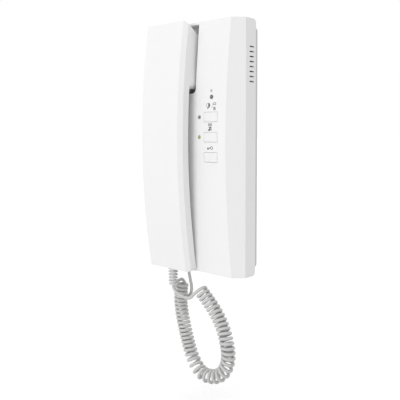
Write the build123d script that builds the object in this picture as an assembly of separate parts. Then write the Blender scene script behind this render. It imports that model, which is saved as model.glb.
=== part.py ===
from build123d import *
import math
import os

# Wall-mounted audio intercom handset: a bowed base with three buttons, a handset in its cradle
# and a curly cord. +Z is up, the wall is the plane y = 0, and the front faces -Y.
# A depth is a distance off the wall, so depth d lies at y = -d. All sizes are in millimetres.

# Driving sizes of the base
base_width = 105.0
base_height = 222.0
side_depth = 17.9
front_depth = 30.2
front_radius = 1650.0
front_crown_z = 4.0
cover_wall = 2.2
rear_corner_radius = 3.5
rear_step = 4.0
rear_inset = 1.2
rear_end_inset = 6.2

# Driving sizes of the handset
handset_width = 52.2
handset_edge_gap = 4.3
handset_top_rise = 0.6
handset_bottom_rise = 0.4
handset_depth = 48.1
handset_radius = 643.0
handset_crown_z = 8.0
handset_facet = 3.4
handset_side = 6.8
handset_wall = 2.0
handset_top_corner = 4.5
handset_bottom_corner = 3.0
mouth_end_radius = 3.5
top_slope = 38.9

# Pocket for the ear end, and the cradle ledge in it
pocket_left_gap = 2.2
pocket_right_gap_low = 1.4
pocket_right_gap_high = 3.4
pocket_top_gap = 2.0
pocket_height = 60.7
pocket_floor = 14.0
pocket_corner = 4.3
pocket_wall = 2.0
ledge_width = 24.0
ledge_reach = 8.0

# Ear block and mouth boss on the handset's rear shell
ledge_height = 3.9
ear_back = 16.6
ear_corner = 5.0
grip_thickness_top = 13.8
grip_thickness_middle = 13.1
grip_thickness_low = 20.2
grip_middle_z = -10.0
mouth_rise = 27.0
mouth_width = 34.0
mouth_height = 20.0
mouth_corner = 5.0
mouth_back = 23.6
mouth_clearance = 1.5
mouth_floor_gap = 1.6
recess_wall = 1.8
relief_gap = 8.0

# Fits and clearances
seat_gap = 0.3
slide_gap = 0.2
pin_gap = 0.05
overrun = 5.0

# Buttons and their switches
button_width = 15.2
button_height = 8.4
button_edge_gap = 28.9
button_z = 27.3
button_pitch = 17.5
button_count = 3
button_travel = 0.8
button_corner = 0.6
button_flange = 1.2
button_lip = 1.1
stem_radius = 2.0
switch_size = 6.0
switch_body = 3.5
plunger_radius = 1.7
plunger_height = 0.7

# Lamps
call_lamp_offset = 0.7
call_lamp_z = 44.6
call_lamp_radius = 1.8
left_lamp_offset = 13.2
left_lamp_radius = 1.6
lamp_chamfer = 0.4
lamp_flange = 0.5
lamp_flange_height = 1.0

# Main board
board_thickness = 1.6
board_front = 20.0
board_lamp_margin = 4.4
board_edge_gap = 7.5
board_low = -26.0
board_high = 54.0
board_pocket_gap = 3.2
board_screw_inset = 3.6
terminal_length = 20.0
terminal_height = 9.0
terminal_depth = 8.0
terminal_ways = 4
terminal_well_radius = 1.7
terminal_well_depth = 3.0

# Side slots and the sounder behind them
slot_count = 8
slot_pitch = 4.24
slot_length = 6.2
slot_height = 1.2
slot_depth_centre = 9.5
slot_centre_drop = 38.8
sounder_radius = 17.0
sounder_edge_gap = 22.5
sounder_drop = 35.0
sounder_magnet_radius = 9.0
sounder_magnet_height = 4.0
sounder_rim = 1.6
sounder_cone_radius = 5.0

# Rear case, wall bracket and screws
rear_wall = 2.0
rear_floor = 3.8
rear_lap = 6.0
rear_back_gap = 0.3
bracket_side_gap = 12.5
bracket_end_gap = 36.0
bracket_thickness = 1.5
bracket_corner = 6.0
bracket_gap = 0.5
wall_screw_spacing = 83.5
wall_screw_radius = 2.1
cable_width = 24.0
cable_height = 44.0
cable_edge_gap = 28.5
cable_corner = 3.0
hook_spacing = 50.0
hook_z = 45.0
tab_width = 9.0
tab_lift = 3.0
case_screw_side_gap = 9.5
case_screw_left_gap = 6.5
case_screw_end_gap = 12.0
case_screw_pocket_gap = 18.3
screw_boss_radius = 3.0
screw_head_radius = 2.7
screw_head_height = 1.6
screw_shank_radius = 1.25
screw_length = 9.0
small_screw_head_radius = 2.1
small_screw_head_height = 1.2
small_screw_shank_radius = 0.95
small_screw_length = 5.0
small_boss_radius = 2.4

# Hook lever, pin and switch behind the pocket
lever_width = 8.0
lever_pivot_depth = 9.6
lever_pivot_rise = 11.7
lever_eye_radius = 2.1
lever_thickness = 2.2
lever_length = 20.0
lever_nose = 5.0
pin_radius = 1.0
pin_length = 15.0
ear_lug_thickness = 2.0
hook_switch_width = 8.0
hook_switch_height = 12.8
hook_switch_plunger = 0.5
hook_switch_rise = 22.7

# Capsules in the handset
receiver_radius = 15.0
receiver_height = 8.0
receiver_rise = 27.7
receiver_step = 3.0
receiver_seat = 1.4
sound_hole_radius = 1.1
sound_ring_radius = 6.5
sound_ring_count = 6
sound_hole_pitch = 3.3
microphone_radius = 4.85
microphone_height = 5.0
sleeve_wall = 1.5
handset_screw_ear_gap = 16.5
handset_screw_mouth_gap = 26.0

# Cord, its grommet and the ribbed boot
wire_diameter = 2.9
wire_sides = 5
coil_radius = 5.1
curl_count = 46
first_curl_angle = -90.0
last_curl_angle = 0.0
spans_per_curl = 2
axis_steps = 40
arc_samples = 8
nearby_turns = 6
run_share = 0.45
grommet_offset = 3.6
grommet_depth = 15.0
grommet_radius = 3.0
grommet_flange = 1.4
grommet_flange_height = 1.5
grommet_proud = 0.3
boot_offset = 1.5
boot_inset = 16.1
boot_length = 15.8
boot_radius = 4.65
boot_tip_radius = 4.3
boot_core_radius = 2.3
boot_ribs = 6
boot_rib_share = 0.58
boot_rim_share = 0.55
boot_neck_radius = 2.3
boot_flange_radius = 3.4
boot_flange_height = 1.4

# Worked-out sizes of the base
root_two = math.sqrt(2)
half_width = base_width / 2
half_height = base_height / 2
board_back = board_front - board_thickness
switch_top = board_front + switch_body + plunger_height
button_x = half_width - button_edge_gap
button_rows = [button_z - button_pitch * row for row in range(button_count)]
call_lamp_x = button_x + call_lamp_offset
left_lamp_x = button_x - left_lamp_offset
left_lamp_rows = [button_rows[0], button_rows[1]]
board_left = left_lamp_x - board_lamp_margin
board_right = half_width - board_edge_gap
bracket_width = base_width - 2 * bracket_side_gap
bracket_height = base_height - 2 * bracket_end_gap
cable_x = half_width - cable_edge_gap
sounder_x = half_width - sounder_edge_gap
sounder_z = half_height - sounder_drop
slot_centre_z = half_height - slot_centre_drop

# Worked-out sizes of the handset and the pocket that takes it
handset_x = handset_edge_gap + handset_width / 2 - half_width
handset_right = handset_x + handset_width / 2
handset_top = half_height + handset_top_rise
handset_bottom = handset_bottom_rise - half_height
part_line = handset_facet + handset_side
grip_back_top = handset_depth - grip_thickness_top
grip_back_middle = handset_depth - grip_thickness_middle
grip_back_low = handset_depth - grip_thickness_low
pocket_left = handset_right - handset_width - pocket_left_gap
pocket_right_low = handset_right + pocket_right_gap_low
pocket_right_high = handset_right + pocket_right_gap_high
pocket_top = half_height - pocket_top_gap
pocket_bottom = pocket_top - pocket_height
board_notch_x = pocket_right_low + pocket_wall + board_pocket_gap
board_notch_z = pocket_bottom - board_pocket_gap
ear_bottom = pocket_bottom + ledge_height + seat_gap
lever_pivot_z = pocket_bottom + lever_pivot_rise
hook_switch_z = pocket_bottom + hook_switch_rise
receiver_z = pocket_bottom + receiver_rise
mouth_z = mouth_rise - half_height
handset_screw_high_z = ear_bottom - handset_screw_ear_gap
handset_screw_low_z = mouth_z + handset_screw_mouth_gap

# Worked-out sizes of the cord
wire_radius = wire_diameter / 2
boot_x = handset_x + boot_offset
boot_depth = handset_depth - boot_inset
grommet_x = boot_x + grommet_offset

# Each place of the coil's axis, from the base lead round the hanging loop to the handset lead.
# The cord's places are measured across from the boot, out from the wall and down from the base.
coil_axis = [
    (-2.2, -18.0, -13.8),
    (-4.0, -18.0, -27.0),
    (-3.4, -18.0, -40.0),
    (0.5, -18.0, -56.0),
    (5.9, -18.5, -71.0),
    (13.3, -19.2, -86.4),
    (25.0, -20.4, -96.2),
    (40.1, -21.4, -94.9),
    (52.7, -22.3, -87.9),
    (59.8, -23.3, -73.5),
    (58.4, -24.4, -57.0),
    (52.6, -25.5, -41.0),
    (42.1, -26.4, -27.5),
    (30.1, -27.0, -18.1),
]

# Spread of the curls along the axis: share of the length, and pitch as a share of the mean pitch
pitch_shares = [(0.0, 0.88), (0.30, 0.88), (0.40, 1.4), (0.60, 1.5), (0.70, 0.98), (1.0, 0.92)]

# Places of the two leads, from the grommet to the coil and from the coil to the boot
base_lead_route = [
    (3.6, -15.0, -5.5),
    (4.6, -13.6, -14.0),
    (5.2, -12.2, -21.5),
    (3.0, -11.0, -27.6),
    (-1.8, -9.6, -31.4),
    (-7.4, -8.2, -31.2),
    (-10.6, -6.6, -26.4),
    (-10.0, -5.2, -20.4),
    (-8.4, -5.8, -15.8),
    (-7.2, -8.9, -13.4),
]
handset_lead_route = [
    (20.6, -31.8, -25.0),
    (11.6, -31.7, -24.8),
    (3.3, -31.9, -22.2),
]


def front_plane(depth):
    """Plane parallel to the wall: X to the right, Y up, normal towards the front."""
    return Plane(origin=(0, -depth, 0), x_dir=(1, 0, 0), z_dir=(0, -1, 0))


def side_plane(x):
    """Plane square to the wall: its X is the depth off the wall and its Y is up."""
    return Plane(origin=(x, 0, 0), x_dir=(0, -1, 0), z_dir=(-1, 0, 0))


def plate(width, height, near, far, x=0, z=0, radius=0):
    """Flat piece between two depths, with rounded corners where a radius is given."""
    if radius:
        outline = RectangleRounded(width, height, radius)
    else:
        outline = Rectangle(width, height)
    return extrude(front_plane(near) * Pos(x, z) * outline, amount=far - near)


def disc(radius, near, far, x=0, z=0):
    """Round piece between two depths, its axis square to the wall."""
    return extrude(front_plane(near) * Pos(x, z) * Circle(radius), amount=far - near)


def turned(profile, x=0, z=0):
    """Piece turned from (radius, depth) points about an axis square to the wall."""
    plane = Plane(origin=(x, 0, z), x_dir=(1, 0, 0), z_dir=(0, 0, 1))
    outline = [(radius, -depth) for radius, depth in profile]
    face = plane * make_face(Polyline(*outline, close=True))
    return revolve(face, axis=Axis((x, 0, z), (0, 1, 0)))


def across(face, x, width):
    """Side outline of (depth, z) made into a piece of the given width, centred on x."""
    return extrude(side_plane(x + width / 2) * face, amount=width)


def front_at(z, inset=0):
    """Depth of the base's bowed front at height z."""
    radius = front_radius - inset
    return front_depth - front_radius + math.sqrt(radius ** 2 - (z - front_crown_z) ** 2)


def bowed_slab(inset=0):
    """The cover's outer form drawn in by inset: a bowed front between two facets at 45 degrees."""
    side = half_width - inset
    top = half_height - inset
    edge = side_depth - inset * (root_two - 1)
    reach = front_depth + overrun
    rear = -overrun if inset else rear_step
    outline = [(-side, rear), (side, rear), (side, edge), (side - reach + edge, reach),
               (reach - edge - side, reach), (-side, edge)]
    section = Plane(origin=(0, 0, -top), x_dir=(1, 0, 0), z_dir=(0, 0, -1)) * make_face(
        Polyline(*outline, close=True))
    prism = extrude(section, amount=-2 * top)
    bow = ThreePointArc((front_at(-top, inset), -top), (front_at(front_crown_z, inset), front_crown_z),
                        (front_at(top, inset), top))
    rim = Polyline((front_at(top, inset), top), (rear, top), (rear, -top), (front_at(-top, inset), -top))
    profile = make_face([bow, rim])
    if not inset:
        profile = fillet(profile.vertices().sort_by(Axis.X)[:2], rear_corner_radius)
    return prism & across(profile, 0, base_width)


def pocket_outline(grow=0):
    """Front view of the pocket for the ear end; its right edge leans with the mould's draft."""
    corners = make_face(Polyline(
        (pocket_left, pocket_bottom), (pocket_right_low, pocket_bottom),
        (pocket_right_high, pocket_top), (pocket_left, pocket_top), close=True))
    rounded = fillet(corners.vertices().sort_by(Axis.Y)[:2], pocket_corner)
    return offset(rounded, amount=grow, kind=Kind.INTERSECTION) if grow else rounded


def in_front_view(outline, near, far):
    """Front view outline made into a piece between two depths."""
    return extrude(front_plane(near) * outline, amount=far - near)


def mouth_recess_depth():
    """Depth of the floor of the shallow recess that takes the mouth boss."""
    return mouth_back - mouth_floor_gap


def case_screw_places():
    """Places of the four screws that close the base."""
    right = half_width - case_screw_side_gap
    left = case_screw_left_gap - half_width
    end = half_height - case_screw_end_gap
    return [(right, end), (right, -end), (left, -end), (left, pocket_bottom - case_screw_pocket_gap)]


def board_screw_places():
    """Places of the four screws that hold the main board."""
    inset = board_screw_inset
    return [(board_left + inset, board_low + inset), (board_right - inset, board_low + inset),
            (board_right - inset, board_high - inset), (board_notch_x + inset, board_high - inset)]


def front_cover():
    """Moulded cover: thin bowed shell with the pocket, the mouth recess and all its openings."""
    outer = bowed_slab()
    beyond = front_depth + overrun
    shell = outer - bowed_slab(cover_wall)
    pocket_tub = in_front_view(pocket_outline(pocket_wall), pocket_floor - pocket_wall, beyond)
    recess_floor = mouth_recess_depth()
    recess_width = mouth_width + 2 * mouth_clearance
    recess_height = mouth_height + 2 * mouth_clearance
    recess_tub = plate(recess_width + 2 * recess_wall, recess_height + 2 * recess_wall,
                       recess_floor - recess_wall, beyond, handset_x, mouth_z, mouth_corner)
    body = shell + (pocket_tub & outer) + (recess_tub & outer)
    inner = bowed_slab(cover_wall / 2)
    for x, z in case_screw_places():
        body += disc(screw_boss_radius, rear_lap + slide_gap, beyond, x, z) & inner
    for x, z in board_screw_places():
        body += disc(small_boss_radius, board_front + slide_gap, beyond, x, z) & inner
    body -= in_front_view(pocket_outline(), pocket_floor, beyond)
    body -= plate(recess_width, recess_height, recess_floor, beyond, handset_x, mouth_z, mouth_corner)
    body += plate(ledge_width, ledge_height + pocket_wall / 2, pocket_floor - pocket_wall / 2,
                  pocket_floor + ledge_reach, handset_x,
                  pocket_bottom + (ledge_height - pocket_wall / 2) / 2)
    for z in button_rows:
        body -= plate(button_width + 2 * slide_gap, button_height + 2 * slide_gap,
                      board_front + switch_body, beyond, button_x, z, button_corner)
    body -= disc(call_lamp_radius + slide_gap / 2, board_front + switch_body, beyond,
                 call_lamp_x, call_lamp_z)
    for z in left_lamp_rows:
        body -= disc(left_lamp_radius + slide_gap / 2, board_front + switch_body, beyond,
                     left_lamp_x, z)
    for index in range(slot_count):
        z = slot_centre_z + slot_pitch * (index - (slot_count - 1) / 2)
        body -= plate(2 * overrun, slot_height, slot_depth_centre - slot_length / 2,
                      slot_depth_centre + slot_length / 2, half_width + overrun - 1.5 * cover_wall, z)
    for x, z in case_screw_places():
        body -= disc(screw_shank_radius + pin_gap, 0, rear_lap + screw_length, x, z)
    for x, z in board_screw_places():
        body -= disc(small_screw_shank_radius + pin_gap, 0, board_front + small_screw_length, x, z)
    body -= Pos(grommet_x, -grommet_depth, -half_height) * Cylinder(grommet_radius + slide_gap / 2,
                                                                    4 * cover_wall)
    lug_back = lever_pivot_depth - lever_eye_radius
    for side in (-1, 1):
        lug_x = handset_x + side * (lever_width / 2 + slide_gap + ear_lug_thickness / 2)
        body += plate(ear_lug_thickness, 2 * lever_eye_radius, lug_back, pocket_floor - pocket_wall / 2,
                      lug_x, lever_pivot_z)
    body -= Pos(handset_x, -lever_pivot_depth, lever_pivot_z) * Rot(0, 90, 0) * Cylinder(
        pin_radius + pin_gap, pin_length + overrun)
    slot_low = lever_pivot_z + lever_eye_radius + lever_thickness
    slot_high = lever_pivot_z + lever_length + lever_thickness
    body -= plate(lever_width + 4 * slide_gap, slot_high - slot_low, lever_pivot_depth,
                  pocket_floor + overrun, handset_x, (slot_low + slot_high) / 2)
    return body


def rear_case():
    """Rear moulding: a step that lies on the wall and a flange that closes the cover."""
    step_width = base_width - 2 * rear_inset
    step_height = base_height - 2 * rear_end_inset
    flange_width = base_width - 2 * cover_wall - 2 * slide_gap
    flange_height = base_height - 2 * cover_wall - 2 * slide_gap
    body = plate(step_width, step_height, rear_back_gap, rear_step, radius=rear_corner_radius)
    body += plate(flange_width, flange_height, rear_step, rear_lap)
    body -= plate(flange_width - 2 * rear_wall, step_height - 2 * rear_wall, rear_floor, rear_lap + overrun)
    body -= plate(bracket_width + 2 * bracket_gap, bracket_height + 2 * bracket_gap, 0,
                  bracket_thickness + seat_gap, radius=bracket_corner)
    body += turned([(sounder_radius + slide_gap, rear_floor), (sounder_radius + slide_gap, rear_lap),
                    (sounder_radius + rear_wall, rear_lap), (sounder_radius + rear_wall, rear_floor)],
                   sounder_x, sounder_z)
    body -= plate(cable_width, cable_height, 0, rear_lap + overrun, cable_x, 0, cable_corner)
    for side in (-1, 1):
        body -= plate(tab_width + 4 * slide_gap, 2 * tab_lift + bracket_thickness, 0, rear_lap,
                      side * hook_spacing / 2, hook_z)
    for x, z in case_screw_places():
        body += disc(screw_boss_radius + rear_wall / 2, rear_floor, rear_lap, x, z)
        body -= disc(screw_shank_radius + 2 * slide_gap, 0, rear_lap + overrun, x, z)
        body -= disc(screw_head_radius + slide_gap, 0, rear_back_gap + seat_gap + screw_head_height, x, z)
    return body


def wall_bracket():
    """Pressed steel plate that is screwed to the wall and carries the rear case on two hooks."""
    body = plate(bracket_width, bracket_height, 0, bracket_thickness, radius=bracket_corner)
    body -= plate(cable_width, cable_height, -overrun, overrun, cable_x, 0, cable_corner)
    for side in (-1, 1):
        body -= disc(wall_screw_radius, -overrun, overrun, 0, side * wall_screw_spacing / 2)
    tip_near = rear_floor + seat_gap
    for side in (-1, 1):
        x = side * hook_spacing / 2
        stem = plate(tab_width, bracket_thickness, bracket_thickness / 2, tip_near + bracket_thickness,
                     x, hook_z)
        tip = plate(tab_width, 2 * tab_lift, tip_near, tip_near + bracket_thickness,
                    x, hook_z + tab_lift - bracket_thickness / 2)
        body += stem + tip
    return body


def button_cap(z):
    """Button cap: a face in its opening, a lip that keeps it in, and a stem to its switch."""
    face_depth = front_at(z)
    inner = face_depth - cover_wall - seat_gap
    cap = plate(button_width, button_height, inner - button_lip, face_depth + seat_gap, button_x, z,
                button_corner)
    cap = chamfer(cap.faces().sort_by(Axis.Y)[0].edges(), button_corner / 2)
    cap += plate(button_width + 2 * button_flange, button_height + 2 * button_flange,
                 inner - button_lip, inner, button_x, z)
    stem_end = switch_top + button_travel + slide_gap / 2
    return cap + disc(stem_radius, stem_end, inner, button_x, z)


def tact_switch(z):
    """Square board switch with a round plunger."""
    body = plate(switch_size, switch_size, board_front, board_front + switch_body, button_x, z)
    return body + disc(plunger_radius, board_front, switch_top, button_x, z)


def lamp(x, z, radius):
    """Light-emitting diode that stands on the board and fills its hole in the front."""
    tip = front_at(z) + seat_gap / 2
    body = disc(radius, board_front, tip, x, z)
    body = chamfer(body.faces().sort_by(Axis.Y)[0].edges(), lamp_chamfer)
    return body + disc(radius + lamp_flange, board_front, board_front + lamp_flange_height, x, z)


def main_board():
    """Printed circuit board behind the buttons, held by four screws."""
    body = plate(board_right - board_left, board_high - board_low, board_back, board_front,
                 (board_left + board_right) / 2, (board_low + board_high) / 2)
    notch_width = board_notch_x - board_left
    notch_height = board_high - board_notch_z
    body -= plate(notch_width, notch_height, 0, front_depth, board_left + notch_width / 2,
                  board_high - notch_height / 2)
    for x, z in board_screw_places():
        body -= disc(small_screw_shank_radius + slide_gap, 0, front_depth, x, z)
    return body


def terminal_block():
    """Screw terminals for the wires from the wall, on the back of the board."""
    x = cable_x
    z = board_low + terminal_height
    near = board_back - terminal_depth
    body = plate(terminal_length, terminal_height, near, board_back, x, z)
    pitch = terminal_length / terminal_ways
    for way in range(terminal_ways):
        way_x = x + pitch * (way - (terminal_ways - 1) / 2)
        body -= disc(terminal_well_radius, near - overrun, near + terminal_well_depth, way_x, z)
    return body


def chime_sounder():
    """Round sounder behind the side slots: magnet at the back, rim and dished cone in front."""
    near = rear_floor
    magnet_top = near + sounder_magnet_height
    rim_top = magnet_top + sounder_rim
    profile = [(0, near), (sounder_magnet_radius, near), (sounder_magnet_radius, magnet_top - sounder_rim),
               (sounder_radius, magnet_top - sounder_rim), (sounder_radius, rim_top),
               (sounder_radius - rear_wall, rim_top), (sounder_cone_radius, magnet_top - sounder_rim / 2),
               (0, magnet_top)]
    return turned(profile, sounder_x, sounder_z)


def hook_lever():
    """Lever under the ear end: an eye on the pin, an arm up the pocket's back, and a nose."""
    eye = Pos(handset_x, -lever_pivot_depth, lever_pivot_z) * Rot(0, 90, 0) * Cylinder(
        lever_eye_radius, lever_width)
    arm = plate(lever_width, lever_length, lever_pivot_depth - lever_thickness / 2,
                lever_pivot_depth + lever_thickness / 2, handset_x, lever_pivot_z + lever_length / 2)
    nose_near = lever_pivot_depth - lever_thickness / 2
    nose_far = ear_back - seat_gap
    nose_top = lever_pivot_z + lever_length
    nose_face = make_face(Polyline(
        (nose_near, nose_top), (nose_far - lever_thickness, nose_top), (nose_far, nose_top - lever_thickness),
        (nose_far, nose_top - lever_nose), (nose_near, nose_top - lever_nose - lever_thickness), close=True))
    body = eye + arm + across(nose_face, handset_x, lever_width)
    return body - Pos(handset_x, -lever_pivot_depth, lever_pivot_z) * Rot(0, 90, 0) * Cylinder(
        pin_radius + pin_gap, lever_width + overrun)


def hook_pin():
    """Pin that the hook lever turns on."""
    return Pos(handset_x, -lever_pivot_depth, lever_pivot_z) * Rot(0, 90, 0) * Cylinder(
        pin_radius, pin_length)


def hook_switch():
    """Small switch on the rear case that the lever presses while the handset is in its cradle."""
    top = lever_pivot_depth - lever_thickness / 2 - seat_gap
    body = plate(hook_switch_width, hook_switch_height, rear_floor, top - hook_switch_plunger,
                 handset_x, hook_switch_z)
    return body + disc(hook_switch_plunger * 2, rear_floor, top, handset_x, hook_switch_z)


def screw(x, z, near, head_radius, head_height, shank_radius, length):
    """Screw driven from the back, its head at depth near and its shank towards the front."""
    return disc(head_radius, near, near + head_height, x, z) + disc(
        shank_radius, near, near + head_height + length, x, z)


def case_screws():
    """Four screws that hold the rear case in the cover."""
    length = rear_lap + screw_length - rear_back_gap - screw_head_height - seat_gap - slide_gap
    return [screw(x, z, rear_back_gap + seat_gap, screw_head_radius, screw_head_height,
                  screw_shank_radius, length) for x, z in case_screw_places()]


def board_screws():
    """Four screws that hold the main board to its bosses."""
    return [screw(x, z, board_back - small_screw_head_height, small_screw_head_radius,
                  small_screw_head_height, small_screw_shank_radius, board_thickness + small_screw_length
                  - slide_gap) for x, z in board_screw_places()]


def handset_front_at(z, inset=0):
    """Depth of the handset's bowed front at height z."""
    radius = handset_radius - inset
    return handset_depth - handset_radius + math.sqrt(radius ** 2 - (z - handset_crown_z) ** 2)


def handset_arc(inset, low, high):
    """Arc of the handset's bow, drawn in by inset, from height low to height high."""
    return ThreePointArc(*[(handset_front_at(z, inset), z) for z in (low, (low + high) / 2, high)])


def below_slope(inset=0):
    """Side view of everything under the handset's slanted top end, drawn in by inset."""
    slope = math.tan(math.radians(top_slope))
    start = handset_front_at(handset_top)
    drop = inset / math.cos(math.radians(top_slope))
    far = handset_depth + overrun
    return make_face(Polyline(
        (0, handset_top - start * slope - drop), (far, handset_top - (start - far) * slope - drop),
        (far, handset_bottom - overrun), (0, handset_bottom - overrun), close=True))


def handset_band(front_inset, rear_inset, side_inset, corner=0):
    """Bowed band of the handset between two depths off its front, with a rounded lower rear corner."""
    low = handset_bottom + side_inset
    high = handset_top - side_inset
    front = handset_arc(front_inset, low, high)
    rear = handset_arc(rear_inset, low, high)
    profile = make_face([front, Line(front @ 1, rear @ 1), rear, Line(rear @ 0, front @ 0)])
    if corner:
        lowest = min(profile.vertices(), key=lambda vertex: vertex.X + vertex.Y)
        profile = fillet(lowest, corner)
    return across(profile, handset_x, handset_width - 2 * side_inset)


def bowed_edges(band):
    """The long curved edges of a band, those nearest the front first."""
    return band.edges().filter_by(GeomType.CIRCLE).sort_by(Axis.Y)


def handset_outline(inset=0, bottom=handset_bottom, bottom_corner=handset_bottom_corner):
    """Front view of the handset with its rounded corners."""
    low = bottom + inset
    high = handset_top - inset
    outline = Pos(handset_x, (low + high) / 2) * Rectangle(handset_width - 2 * inset, high - low)
    outline = fillet(outline.vertices().sort_by(Axis.Y)[2:], handset_top_corner - inset)
    return fillet(outline.vertices().sort_by(Axis.Y)[:2], bottom_corner - inset)


def handset_front_shell():
    """Front half of the handset: a bowed tray with a facet along each long edge."""
    beyond = handset_depth + overrun
    outer = handset_band(0, part_line, 0, mouth_end_radius)
    outer = chamfer(bowed_edges(outer)[:2], handset_facet)
    inner = handset_band(handset_wall, part_line + overrun, handset_wall)
    inner = chamfer(bowed_edges(inner)[:2], handset_facet - handset_wall * (2 - root_two))
    body = outer & in_front_view(handset_outline(), 0, beyond)
    body = body & across(below_slope(), handset_x, handset_width)
    hollow = inner & in_front_view(handset_outline(handset_wall), 0, beyond)
    body -= hollow & across(below_slope(handset_wall), handset_x, handset_width)
    for z in (handset_screw_high_z, handset_screw_low_z):
        base = handset_front_at(z, part_line) + handset_wall + slide_gap
        body += disc(screw_boss_radius, base, handset_front_at(z, handset_wall / 2), handset_x, z)
        body -= disc(screw_shank_radius + pin_gap, 0, base + screw_length / 2, handset_x, z)
    return body - Pos(boot_x, -boot_depth, handset_bottom) * Cylinder(
        boot_neck_radius + slide_gap / 2, 4 * handset_wall)


def behind_grip():
    """Side view of everything in front of the grip's back, an arc that runs out at the mouth end."""
    far = handset_depth + overrun
    low = handset_bottom
    back = ThreePointArc((grip_back_low, low), (grip_back_middle, grip_middle_z),
                         (grip_back_top, ear_bottom))
    rim = Polyline((grip_back_top, ear_bottom), (grip_back_top, handset_top), (far, handset_top),
                   (far, low), (grip_back_low, low))
    return make_face([back, rim])


def handset_rear_shell():
    """Rear half of the handset: grip back, ear block that goes into the pocket, and mouth boss."""
    beyond = handset_depth + overrun
    crown = handset_band(part_line, part_line + handset_facet, 0)
    crown = chamfer(bowed_edges(crown)[-2:], handset_facet - slide_gap)
    crown = crown & across(behind_grip(), handset_x, handset_width)
    plug = handset_band(part_line - handset_wall, part_line, handset_wall + slide_gap)
    plug = plug & handset_band(0, part_line, 0, mouth_end_radius)
    plug = plug & across(below_slope(handset_wall + slide_gap), handset_x, handset_width)
    block_top = handset_arc(part_line, ear_bottom, handset_top)
    block_rim = Polyline(block_top @ 1, (ear_back, handset_top), (ear_back, ear_bottom), block_top @ 0)
    ear = across(make_face([block_top, block_rim]), handset_x, handset_width)
    ear = ear & in_front_view(handset_outline(0, ear_bottom, ear_corner), 0, beyond)
    body = crown + plug + ear
    body = body & in_front_view(handset_outline(), 0, beyond)
    body = body & across(below_slope(), handset_x, handset_width)
    hollow = in_front_view(handset_outline(handset_wall, ear_bottom, ear_corner), ear_back + handset_wall,
                           beyond)
    body -= hollow & across(below_slope(handset_wall), handset_x, handset_width)
    relief_high = handset_screw_high_z - relief_gap
    relief_low = handset_screw_low_z + relief_gap
    body -= handset_band(0, part_line, 2 * handset_wall) & plate(
        handset_width, relief_high - relief_low, 0, beyond, handset_x, (relief_high + relief_low) / 2)
    seat = disc(receiver_radius + slide_gap + receiver_seat, ear_back + handset_wall / 2,
                ear_back + handset_wall + receiver_step, handset_x, receiver_z)
    body += seat - disc(receiver_radius + slide_gap, 0, beyond, handset_x, receiver_z)
    sound_places = [(handset_x, receiver_z)]
    for index in range(sound_ring_count):
        angle = 2 * math.pi * index / sound_ring_count
        sound_places.append((handset_x + sound_ring_radius * math.cos(angle),
                             receiver_z + sound_ring_radius * math.sin(angle)))
    for x, z in sound_places:
        body -= disc(sound_hole_radius, 0, ear_back + handset_wall + overrun, x, z)
    body += plate(mouth_width, mouth_height, mouth_back, handset_front_at(mouth_z, part_line) + handset_wall,
                  handset_x, mouth_z, mouth_corner)
    body -= disc(microphone_radius + sleeve_wall + slide_gap, mouth_back + handset_wall, beyond,
                 handset_x, mouth_z)
    for step in (-1, 0, 1):
        body -= disc(sound_hole_radius, 0, beyond, handset_x + step * sound_hole_pitch, mouth_z)
    for z in (handset_screw_high_z, handset_screw_low_z):
        body -= disc(screw_shank_radius + slide_gap, 0, beyond, handset_x, z)
        body -= disc(screw_head_radius + slide_gap, 0, handset_screw_seat(z), handset_x, z)
    return body - Pos(boot_x, -boot_depth, handset_bottom) * Cylinder(
        boot_flange_radius + slide_gap, 4 * (handset_wall + boot_flange_height))


def handset_screw_seat(z):
    """Depth at which the head of a handset screw seats in the rear shell."""
    return handset_front_at(z, part_line) + handset_wall / 2


def receiver_capsule():
    """Receiver: a round capsule with a stepped back, seated against the ear block's wall."""
    near = ear_back + handset_wall
    middle = near + receiver_height / 2
    return turned([(0, near), (receiver_radius, near), (receiver_radius, middle),
                   (receiver_radius - receiver_step, middle),
                   (receiver_radius - receiver_step, near + receiver_height), (0, near + receiver_height)],
                  handset_x, receiver_z)


def microphone_capsule():
    """Microphone capsule in its rubber sleeve."""
    near = mouth_back + handset_wall
    return disc(microphone_radius, near, near + microphone_height, handset_x, mouth_z)


def microphone_sleeve():
    """Rubber sleeve round the microphone."""
    near = mouth_back + handset_wall
    length = microphone_height + sleeve_wall
    sleeve = disc(microphone_radius + sleeve_wall, near, near + length, handset_x, mouth_z)
    return sleeve - disc(microphone_radius + pin_gap, 0, near + length + overrun, handset_x, mouth_z)


def handset_screws():
    """Two screws that join the halves of the handset."""
    screws = []
    for z in (handset_screw_high_z, handset_screw_low_z):
        screws.append(screw(handset_x, z, handset_screw_seat(z) - screw_head_height, screw_head_radius,
                            screw_head_height, screw_shank_radius, (handset_wall + screw_length) / 2))
    return screws


def cord_grommet():
    """Round bush in the base's lower wall that the cord comes out of."""
    low = -half_height - grommet_proud
    inner_face = -half_height + cover_wall
    top = inner_face + grommet_flange_height
    bush = Pos(grommet_x, -grommet_depth, (low + top) / 2) * Cylinder(grommet_radius, top - low)
    return bush + Pos(grommet_x, -grommet_depth, (inner_face + top) / 2) * Cylinder(
        grommet_radius + grommet_flange, grommet_flange_height)


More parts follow.
